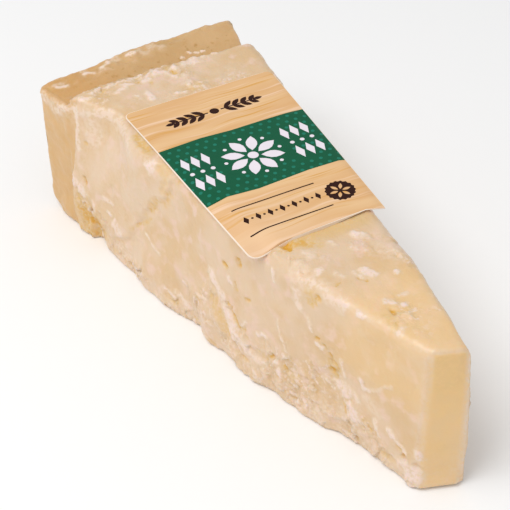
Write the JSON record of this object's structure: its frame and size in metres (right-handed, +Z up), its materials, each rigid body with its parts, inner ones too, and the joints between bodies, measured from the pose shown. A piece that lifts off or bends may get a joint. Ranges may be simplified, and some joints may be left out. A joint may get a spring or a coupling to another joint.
{
  "type": "wedge of aged hard cheese",
  "caption": "Tapering wedge of aged hard cheese with crumbly broken sides, a rind at its wide end and a plain printed paper label folded over its top.",
  "frame": {"origin": "on the ground under the middle of the object's box", "axes": "+Z up; +Y from the narrow nose towards the rind; +X to the right seen from the nose"},
  "size_m": [0.0732, 0.1797, 0.0529],
  "materials": {
    "cheese": "satin",
    "label": "satin"
  },
  "bodies": {
    "root": {"wedge": "cheese", "label": "label"}
  },
  "joints": []
}
